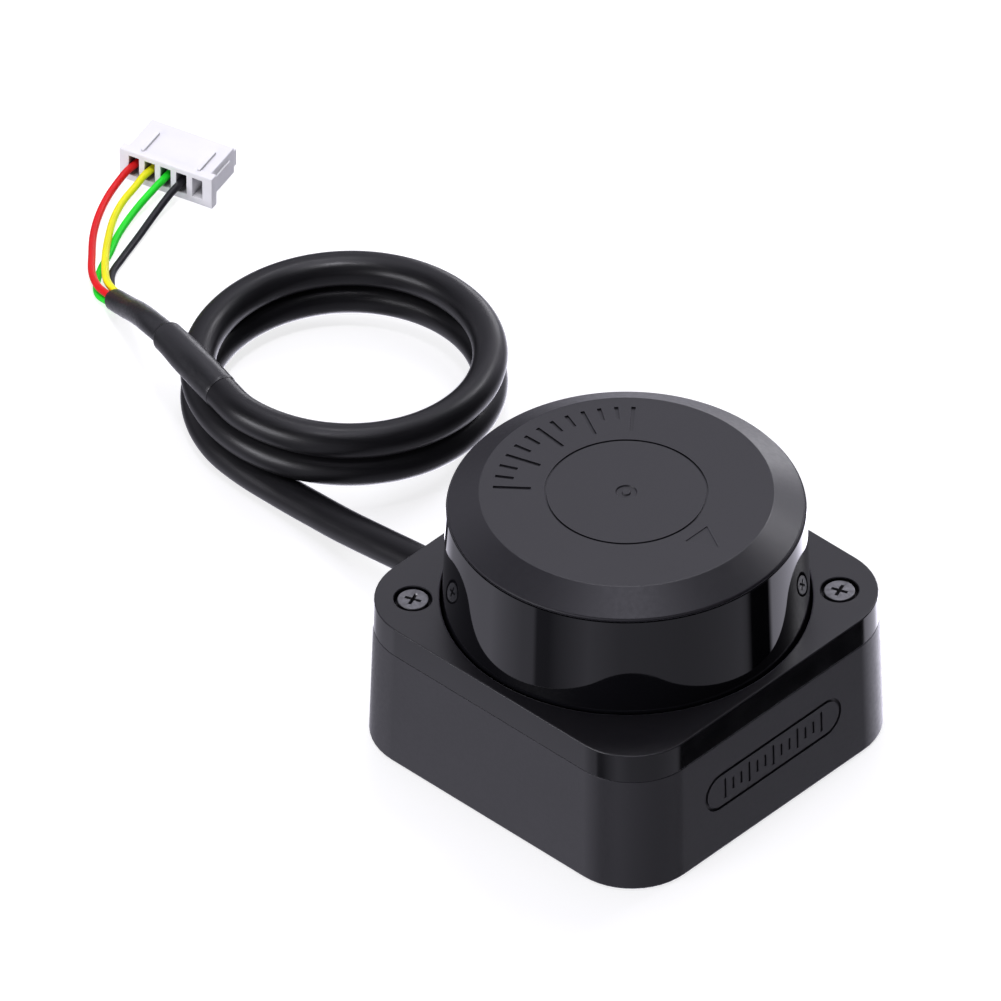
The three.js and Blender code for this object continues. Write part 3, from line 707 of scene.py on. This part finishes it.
def make_connector():
    half, end = CONNECTOR["half"], CONNECTOR["length"]
    low, top = BODY["bottom"], BODY["top"]
    flange = CONNECTOR["flange_half"]
    body = block(0, CONNECTOR["flange"], -flange, flange, 0, CONNECTOR["flange_top"], 0.18)
    parts = [
        block(0.5, BODY["end"], -half, half, low, top, 0.16),
        block(6.5, end, 0.6 - half, half - 0.6, low, BODY["ledge"], 0.16),
        *(block(0.9, 5.5, y - 0.25, y + 0.25, 4.8, BODY["rib_top"], 0.1) for y in (-4.8, 4.2)),
        *(block(0.9, 6.3, side - 0.3, side + 0.3, 1.6, 4.1, 0.12) for side in (-half, half)),
    ]
    for part in parts:
        body = weld(body, [part])
    ways = range(WAY["count"])
    latch_windows = [block(4.6, 6.2, way_y(way) - 0.45, way_y(way) + 0.45, 0, 1.4) for way in ways]
    body = carve(body, [way_cutter(way) for way in ways])
    body = carve(body, latch_windows)
    bmesh.ops.transform(body, matrix=IN_CONNECTOR, verts=body.verts)
    return make_piece("connector_body", body, "base", LOOKS["connector_nylon"],
                      ("connector_housing",), smooth=25)


WIRE_RADIUS = 0.54
WIRES = {
    "red": {"way": 0, "length": 0.038, "in_sleeve": (13.8, 109.1, 4.7)},
    "yellow": {"way": 1, "length": 0.0365, "in_sleeve": (14.9, 108.7, 4.7)},
    "green": {"way": 2, "length": 0.0367, "in_sleeve": (13.8, 109.1, 3.5)},
    "black": {"way": 3, "length": 0.0346, "in_sleeve": (14.9, 108.7, 3.5)},
}
WIRE_ROUTES = {
    "red": [
        (16.1, 113.45, 2.4),
        (16.65, 116.25, 2.25),
        (18.55, 119.25, 1.9),
        (21.7, 122.3, 1.6),
        (25.1, 125.3, 1.4),
        (28.5, 127.6, 1.4),
        (32.05, 129.35, 1.6),
        (34.85, 130.2, 2.0),
        (37.65, 130.65, 2.6),
    ],
    "yellow": [
        (17.2, 113.05, 2.4),
        (18.1, 115.85, 2.45),
        (21.45, 119.5, 2.1),
        (26.1, 123.35, 1.45),
        (30.2, 126.1, 1.2),
        (33.3, 127.35, 1.5),
        (36.35, 127.85, 2.1),
        (38.25, 128.15, 2.6),
    ],
    "green": [
        (16.1, 113.5, 1.2),
        (16.45, 115.95, 0.95),
        (18.15, 118.0, 0.7),
        (20.95, 119.9, 0.6),
        (24.5, 121.5, 0.75),
        (27.25, 122.85, 1.0),
        (30.45, 124.05, 1.2),
        (34.35, 125.05, 1.6),
        (37.8, 125.4, 2.4),
    ],
    "black": [
        (17.2, 113.05, 1.2),
        (19.1, 116.05, 1.0),
        (21.45, 118.1, 0.8),
        (24.6, 119.3, 0.75),
        (29.7, 120.9, 0.9),
        (34.55, 122.25, 1.5),
        (38.6, 122.95, 2.5),
    ],
}


def make_wire(colour):
    wire = WIRES[colour]
    ends = [IN_CONNECTOR @ Vector((x, way_y(wire["way"]), WAY["z"])) for x in (1.2, 2.6)]
    line = smooth_line([wire["in_sleeve"], *WIRE_ROUTES[colour], *ends], 0.3)
    bm = tube(line, lambda distance, turn: WIRE_RADIUS, 20)
    slot = f"wire_{colour}"
    return make_piece(f"lead_{colour}", bm, "base", LOOKS[slot], (slot,)), line


def make_terminal(colour):
    """A crimp contact: a sprung box for the pin, a crimp round the wire and a locking tongue."""
    y, z = way_y(WIRES[colour]["way"]), WAY["z"]
    box = carve(block(4.2, 8.2, y - 0.6, y + 0.6, z - 0.9, z + 0.9, 0.08),
                [block(4.0, 8.5, y - 0.45, y + 0.45, z - 0.75, z + 0.75)])
    barrel = lathe([(0.42, 0), (0.58, 0), (0.58, 1.6), (0.42, 1.6)], 24, closed=True)
    moved(barrel, turn=90, about="Y")
    moved(barrel, x=1.8, y=y, z=z)
    spine = block(3.2, 4.4, y - 0.35, y + 0.35, z - 0.62, z - 0.48, 0.04)
    spring = moved(block(-1.3, 1.3, -0.3, 0.3, -0.05, 0.05, 0.03), x=6.0, y=y, z=z + 0.35, turn=9, about="Y")
    bm = together([box, barrel, spine, spring])
    bmesh.ops.transform(bm, matrix=IN_CONNECTOR, verts=bm.verts)
    return make_piece(f"contact_{colour}", bm, "base", LOOKS["tin"], (f"terminal_{colour}",))


connector = make_connector()
contacts = {colour: make_terminal(colour) for colour in WIRES}
for colour, wire in WIRES.items():
    lead, lead_line = make_wire(colour)

# ---------------------------------------------------------------- base

BASE = {"half": 27.8, "half_at_plate": 27.165, "corner": 9.8, "floor": 2.0}  # its walls lean in
SHELL_TOP = box_mm("base_shell")[1].z
PLATE_TOP = box_mm("top_cover")[1].z
CAVITY = {"half": 25.6, "corner": 8.0}
BOSS = 20.6  # how far the cover screws' bosses are from the middle, in X and in Y
INSERT = 21.5  # the same for the threaded inserts
HOLE = {"radius": 25.5, "lip": 0.25, "sides": 160}
COUNTERBORE = {"bore": 1.15, "radius": 2.65, "floor": 21.7, "edge": 0.12}
BADGE = {"z": 10.3, "length": 27.2, "height": 6.1, "line": 0.5, "deep": 0.32}


def draft_at(z):
    """The base's width at a height, as a share of its width at the floor."""
    return 1 - (1 - BASE["half_at_plate"] / BASE["half"]) * (z / PLATE_TOP)


def outside(z, inset=0.0):
    """One ring of the base's drafted outside."""
    scale = draft_at(z)
    return rounded_square(BASE["half"] * scale - inset, BASE["corner"] * scale - inset, z)


def edge_rings(z, radius, rising, steps=4):
    """Rings that round the outside off at a height: rising from a flat underside, or closing a top."""
    rings = []
    for i in range(steps + 1):
        turn = math.radians(90 * i / steps)
        inset = radius * (1 - math.sin(turn)) if rising else radius * (1 - math.cos(turn))
        height = radius * (1 - math.cos(turn)) if rising else radius * (math.sin(turn) - 1)
        rings.append(outside(z + height, inset))
    return rings


def spots(distance):
    """Four places, as far from the middle in X as in Y."""
    return [(x * distance, y * distance) for x, y in ((1, 1), (-1, 1), (-1, -1), (1, -1))]


def stadium(length, height, z0, z1):
    """A flat-sided oval prism, its outline in X and Y."""
    rings = []
    for z in (z0, z1):
        ring = []
        for side in (1, -1):
            for i in range(17):
                turn = math.radians(-90 + 180 * i / 16)
                x = side * ((length - height) / 2 + height / 2 * math.cos(turn))
                ring.append(Vector((x, side * height / 2 * math.sin(turn), z)))
        rings.append(ring)
    return loft(rings)


def badge_cutter():
    """The engraved oval on the front face, with a plain scale of short strokes inside it."""
    deep = BADGE["deep"]
    outline = stadium(BADGE["length"], BADGE["height"], -deep, 2)
    inner = 2 * BADGE["line"]
    oval = carve(outline, [stadium(BADGE["length"] - inner, BADGE["height"] - inner, -deep - 1, 3)])
    strokes = []
    for i in range(-6, 7):
        tall = 1.7 if i % 3 == 0 else 1.0
        strokes.append(block(1.6 * i - 0.2, 1.6 * i + 0.2, -tall, tall, -deep * 0.8, 2))
    cutter = together([oval, *strokes])
    moved(cutter, turn=90, about="X")
    lean = math.degrees(math.atan((BASE["half"] - BASE["half_at_plate"]) / PLATE_TOP))
    moved(cutter, y=-BASE["half"] * draft_at(BADGE["z"]), z=BADGE["z"], turn=-lean, about="X")
    return cutter


def make_base_shell():
    rings = [*edge_rings(0, 0.5, True), *edge_rings(SHELL_TOP, 0.1, False, 2)]
    inner = CAVITY["half"]
    for half, z in ((inner, SHELL_TOP), (inner, BASE["floor"] + 0.5), (inner - 0.5, BASE["floor"])):
        rings.append(rounded_square(half, CAVITY["corner"] - (inner - half), z))
    bm = loft(rings)
    bosses = [moved(lathe([(4.2, 1.5), (4.2, 10.2), (4.0, 10.5)], 32), x, y) for x, y in spots(BOSS)]
    columns = [moved(lathe([(3.0, 9.0), (3.0, 18.45)], 32), x, -x) for x in (-BOSS, BOSS)]
    posts = [moved(lathe([(2.0, 1.5), (2.0, 4.9)], 24), x, y) for x, y in spots(15.5)]
    for group in (bosses, columns, posts):
        bm = weld(bm, group)
    holes = [moved(lathe([(2.05, -1), (2.05, 0), (1.85, 0.2), (1.85, 4.3)], 32), x, y)
             for x, y in spots(INSERT)]
    pilots = [moved(lathe([(1.1, 12), (1.1, 20)], 24), x, -x) for x in (-BOSS, BOSS)]
    exit_hole = moved(moved(lathe([(3.3, -30), (3.3, -23)], 40), turn=90, about="X"), z=EXIT.z)
    bm = carve(bm, [*holes, *pilots])
    bm = carve(bm, [exit_hole])
    bm = carve(bm, [badge_cutter()])
    return make_piece("lower_shell", bm, "base", LOOKS["shell_plastic"], ("base_shell",))


def hole_cutter(low):
    """The rotor's round hole, with a rounded lip at the top."""
    radius, lip = HOLE["radius"], HOLE["lip"]
    turns = [math.radians(15 * i) for i in range(7)]
    edge = [(radius + lip * (1 - math.cos(t)), PLATE_TOP + lip * (math.sin(t) - 1)) for t in turns]
    return lathe([(radius, low), *edge, (radius + lip + 1, PLATE_TOP + 1)], HOLE["sides"])


def screw_seat_cutter(low):
    """A cover screw's hole and the wider seat for its head, bevelled at the top."""
    bore, radius, edge = COUNTERBORE["bore"], COUNTERBORE["radius"], COUNTERBORE["edge"]
    floor, top = COUNTERBORE["floor"], PLATE_TOP
    return lathe([(bore, low), (bore, floor), (radius, floor), (radius, top - edge),
                  (radius + edge, top), (radius + edge + 1, top + 1)], 48)


def make_top_cover():
    low = SHELL_TOP + 0.05
    bm = loft([*edge_rings(low, 0.1, True, 2), *edge_rings(PLATE_TOP, 0.16, False)])
    under = CAVITY["half"] + 0.15
    hollow = loft([rounded_square(under, CAVITY["corner"], z) for z in (low - 1, 21.4)])
    hollow = carve(hollow, [moved(lathe([(3.4, low - 2), (3.4, 22)], 32), x, -x) for x in (-BOSS, BOSS)])
    bm = carve(bm, [hollow])
    bm = carve(bm, [hole_cutter(low + 1)])
    bm = carve(bm, [moved(screw_seat_cutter(low - 2), x, -x) for x in (-BOSS, BOSS)])
    cover = make_piece("top_plate", bm, "base", LOOKS["cover_plastic"], ("top_cover",))
    cover.data.materials.append(BAND_GLOSS)
    cover.data.materials.append(RIM_PAINTED_HIGHLIGHT)
    # Side faces of the band take the glossy band plastic; faces of the hole's rounded lip take the lighter
    # plastic of the painted highlight.
    for face in cover.data.polygons:
        reach = face.center.xy.length / MM
        if abs(face.normal.z) < 0.1 and reach > HOLE["radius"] + 1.1:
            face.material_index = 1
        elif 0.1 < face.normal.z < 0.99 and reach < HOLE["radius"] + HOLE["lip"] + 0.05:
            face.material_index = 2
    return cover


def make_cover_screw(index, x, y):
    """A cross-head screw: a domed-edge head, a tapered recess and a cut thread."""
    low, high = box_mm(f"cover_screw_{index}")
    head = (high.x - low.x) / 2 - 0.1
    under = high.z - 1.3
    profile = [(0.35, low.z), (0.7, low.z + 0.4)]
    z = low.z + 0.4
    while z < under - 0.6:
        profile += [(0.95, z + 0.15), (0.72, z + 0.4)]
        z += 0.45
    profile += [(0.8, under), (head - 0.1, under)]
    edge = filleted([(head - 0.1, under), (head, under + 0.1, 0.08), (head, high.z, 0.14), (0.3, high.z)], 5)
    profile += [tuple(p) for p in edge[1:]]
    bm = lathe(profile, 64)
    wings = []
    for turn in (20, 110):
        wing = block(-1.35, 1.35, -0.27, 0.27, high.z - 0.95, high.z + 0.3)
        for vert in wing.verts:
            if vert.co.z < high.z:
                vert.co.x *= 0.55
                vert.co.y *= 0.7
        wings.append(moved(wing, turn=turn))
    for wing in wings:
        bm = carve(bm, [wing])
    moved(bm, x, y)
    name = f"cover_screw_{index}"
    return make_piece(f"{name}_fine", bm, "base", LOOKS["black_steel"], (name,), smooth=40)


def make_insert(index, x, y):
    """A brass insert with a threaded bore and two knurled bands."""
    bore, crest, outer = 1.25, 1.05, 1.75
    profile = [(outer - 0.15, 0), (outer, 0.15), (outer, 1.6), (1.5, 1.7), (1.5, 2.3), (outer, 2.4),
               (outer, 3.85), (outer - 0.15, 4.0), (bore, 4.0)]
    z = 3.9
    while z > 0.5:
        profile += [(crest, z - 0.22), (bore, z - 0.44)]
        z -= 0.45
    profile += [(bore + 0.15, 0)]
    bm = lathe(profile, 72, closed=True)
    for vert in bm.verts:
        radius = vert.co.xy.length
        if radius > 1.7 and 0.1 < vert.co.z < 3.9:
            turn = math.atan2(vert.co.y, vert.co.x)
            vert.co.xy *= 1 - 0.035 * (math.cos(24 * turn) > 0)
    moved(bm, x, y)
    name = f"mount_insert_{index}"
    return make_piece(f"{name}_fine", bm, "base", LOOKS["brass"], (name,), smooth=30)


make_base_shell()
make_top_cover()
for number, side in ((1, -BOSS), (2, BOSS)):
    make_cover_screw(number, side, -side)
for number, (at_x, at_y) in enumerate(spots(INSERT), 1):
    make_insert(number, at_x, at_y)

# ---------------------------------------------------------------- rotor

CAP = {"flat": 20.15, "edge": 24.75, "edge_z": 38.71, "lip": 22.9, "ring": 11.04, "seat": 38.6}
ENGRAVED = {"line": 0.17, "ring": 0.26, "pip": 0.2, "arrow": 0.12, "scale": 0.25}  # half width, and depths


def make_window():
    low, high = box_mm("window_shell")
    outer, inner = 25.3, 24.6
    corners = [(outer - 1.3, low.z, 0), (outer, low.z, 0.15), (inner, high.z, 0), (inner - 1.3, high.z, 0)]
    bm = lathe([tuple(p) for p in filleted(corners, 4)], 192, closed=True)
    look = LOOKS["window_plastic"]
    return make_piece("rotor_window", bm, "rotor", look, ("window_shell",))


def cap_scale():
    """Engraved strokes along an arc of the cap, long and short by turns, as on a plain dial."""
    strokes = []
    floor = box_mm("rotor_cap")[1].z - ENGRAVED["scale"]
    for i in range(13):
        reach = 5.2 if i % 3 == 0 else 2.6
        stroke = block(18.2 - reach, 18.2, -0.3, 0.3, floor, floor + 1)
        strokes.append(moved(stroke, turn=40 + 7.5 * i))
    return strokes


def arrow_cutter(top):
    """A plain triangle that points to the front."""
    corners = ((-2.2, -13.0), (0, -17.2), (2.2, -13.0))
    return loft([[Vector((x, y, z)) for x, y in corners] for z in (top - ENGRAVED["arrow"], top + 1)])


def make_cap():
    low, high = box_mm("rotor_cap")
    top, seat = high.z, CAP["seat"]
    in_pip, in_groove = top - ENGRAVED["pip"], top - ENGRAVED["ring"]
    inner, outer = CAP["ring"] - ENGRAVED["line"], CAP["ring"] + ENGRAVED["line"]
    pip = [(0.3, top), (0.5, top), (0.65, in_pip), (1.35, in_pip), (1.5, top), (1.6, top)]
    dial = [(inner - 0.1, top), (inner, top), (inner, in_groove),
            (outer, in_groove), (outer, top), (outer + 0.1, top)]
    rim = filleted([(CAP["flat"] - 0.4, top, 0), (CAP["flat"], top, 0.35), (CAP["edge"], CAP["edge_z"], 0.3),
                    (CAP["edge"] - 0.3, seat, 0.05), (CAP["lip"] + 0.1, seat, 0)], 6)
    inside = [(CAP["lip"], seat - 0.1), (CAP["lip"], low.z), (21.5, low.z), (21.5, 38.2), (18.6, 39.6),
              (0.5, 39.6)]
    profile = [*pip, *dial, *(tuple(p) for p in rim), *inside]
    bm = lathe(profile, 192)
    bm = carve(bm, cap_scale())
    bm = carve(bm, [arrow_cutter(top)])
    return make_piece("rotor_lid", bm, "rotor", LOOKS["cap_plastic"], ("rotor_cap",),
                      smooth=25)


make_window()
make_cap()

# ---------------------------------------------------------------- studio

# The light levels below began as a scratch program's fit of soft light patches to the reference's
# brightness, and were then rounded and changed by hand. They aren't a real studio's measured light.
BOWL_ELEVATION = -42  # in degrees: below this the studio looks the same all the way down
STUDIO_BOWL = [
    # azimuth in degrees, and how light the studio is there at BOWL_ELEVATION, as the glossy walls show it
    (-180, 0.15), (-160, 0.58), (-140, 0.4), (-100, 0.4), (-60, 0.52), (-56, 0.4), (-52, 0.0),
    (-36, 0.0), (-33, 1.4), (-8, 1.5), (0, 1.8), (15, 3.6), (45, 4.4), (60, 1.2), (80, 0.5),
    (105, 0.6), (130, 0.9), (155, 0.5), (163, 0.5), (166, 0.0), (174, 0.0), (180, 0.15),
]
STUDIO_WALLS = {
    # elevation in degrees: how light it is there at each 30 degrees of azimuth from -180
    -15: (0.5, 0.45, 0.3, 0.12, 0.0, 0.0, 0.5, 0.5, 0.0, 0.0, 0.1, 0.5, 0.5),
    10: (0.45, 0.42, 0.25, 0.15, 0.0, 0.15, 1.2, 0.4, 0.15, 0.6, 0.4, 0.3, 0.45),
    32: (0.0, 0.0, 0.0, 0.05, 0.03, 0.05, 0.6, 1.0, 0.7, 0.6, 0.1, 0.0, 0.0),
    52: (0.05, 0.0, 0.0, 0.0, 0.05, 0.09, 0.5, 0.85, 0.7, 0.4, 0.05, 0.05, 0.05),
    72: (0.6, 1.3, 1.3, 0.6, 0.4, 0.55, 0.8, 1.3, 1.1, 0.5, 0.3, 0.3, 0.5),
    90: (3.8,) * 13,
}
STUDIO_TINT = (1.0, 0.98, 1.13)


def levels_around(tree, share, stops):
    """A colour ramp round the horizon from (azimuth, level) stops."""
    ramp = add_node(tree, "ShaderNodeValToRGB", {"Fac": share})
    elements = ramp.color_ramp.elements
    while len(elements) < len(stops):
        elements.new(0.5)
    for element, (degrees, level) in zip(elements, stops):
        element.position = (degrees + 180) / 360
        element.color = (*(level * c for c in STUDIO_TINT), 1)
    return ramp.outputs["Color"]


def make_world():
    """A studio of soft light and dark panels, blended from row to row upwards."""
    world = bpy.data.worlds.new("studio")
    world.use_nodes = True
    bpy.context.scene.world = world
    tree = world.node_tree
    place = add_node(tree, "ShaderNodeTexCoord").outputs["Generated"]
    axes = add_node(tree, "ShaderNodeSeparateXYZ", {0: place}).outputs
    azimuth = add_node(tree, "ShaderNodeMath", {0: axes["Y"], 1: axes["X"]}, operation="ARCTAN2").outputs[0]
    turn = {"Value": azimuth, "From Min": -math.pi, "From Max": math.pi}
    share = add_node(tree, "ShaderNodeMapRange", turn).outputs["Result"]
    height = add_node(tree, "ShaderNodeMath", {0: axes["Z"]}, operation="ARCSINE").outputs[0]
    below, light = BOWL_ELEVATION, levels_around(tree, share, STUDIO_BOWL)
    for elevation, levels in STUDIO_WALLS.items():
        stops = [(30 * i - 180, level) for i, level in enumerate(levels)]
        rise = {"Value": height, "From Min": math.radians(below), "From Max": math.radians(elevation)}
        factor = add_node(tree, "ShaderNodeMapRange", rise).outputs["Result"]
        links = {0: factor, 6: light, 7: levels_around(tree, share, stops)}
        light = add_node(tree, "ShaderNodeMix", links, data_type="RGBA").outputs[2]
        below = elevation
    feed(tree, tree.nodes["Background"].inputs["Color"], light)


def make_lamp(name, kind, position, target, power, **settings):
    """A lamp that points from its position to a target, in metres."""
    data = bpy.data.lights.new(name, kind)
    data.energy = power
    data.color = (1.0, 0.99, 1.05)
    for key, value in settings.items():
        setattr(data, key, value)
    lamp = bpy.data.objects.new(name, data)
    lamp.location = position
    lamp.rotation_mode = "QUATERNION"
    lamp.rotation_quaternion = (Vector(target) - Vector(position)).to_track_quat("-Z", "Y")
    bpy.context.scene.collection.objects.link(lamp)


def make_floor():
    """A pale floor just under the base, which lights nothing and shows in no reflection."""
    mesh = bpy.data.meshes.new("floor")
    bm = bmesh.new()
    bmesh.ops.create_grid(bm, x_segments=1, y_segments=1, size=30)
    bm.to_mesh(mesh)
    bm.free()
    floor = bpy.data.objects.new("floor", mesh)
    floor.location.z = -0.1 * MM
    bpy.context.scene.collection.objects.link(floor)
    look = Look("floor", (0.5, 0.5, 0.5), 0.9)
    look.shader.inputs["Specular IOR Level"].default_value = 0.0
    look.shader.inputs["Emission Color"].default_value = (1, 1, 1, 1)
    look.shader.inputs["Emission Strength"].default_value = 0.74
    mesh.materials.append(look.material)
    floor.visible_glossy = False
    floor.visible_diffuse = False
    floor.visible_shadow = False


make_world()
make_floor()
make_lamp("key", "AREA", (-0.9, 0.2, 0.2), (0, 0, 0.02), 5.5, shape="RECTANGLE", size=0.6, size_y=0.3)
make_lamp("rim", "AREA", (0.75, 0.37, 0.12), (0, 0.02, 0.03), 0.9, shape="RECTANGLE", size=0.35, size_y=0.2)
make_lamp("side", "AREA", (0.74, 0.0, 0.6), (0, 0, 0), 1.6, size=0.25)
make_lamp("edge", "AREA", (0.31, 0.29, 0.85), (0, 0, 0.04), 0.7, size=0.14)
make_lamp("connector_spot", "SPOT", (-0.08, 0.0, 0.5), (0.042, 0.128, 0.0), 4.0,
          spot_size=math.radians(16), spot_blend=0.9, shadow_soft_size=0.04)
bpy.context.scene.view_settings.view_transform = "Standard"
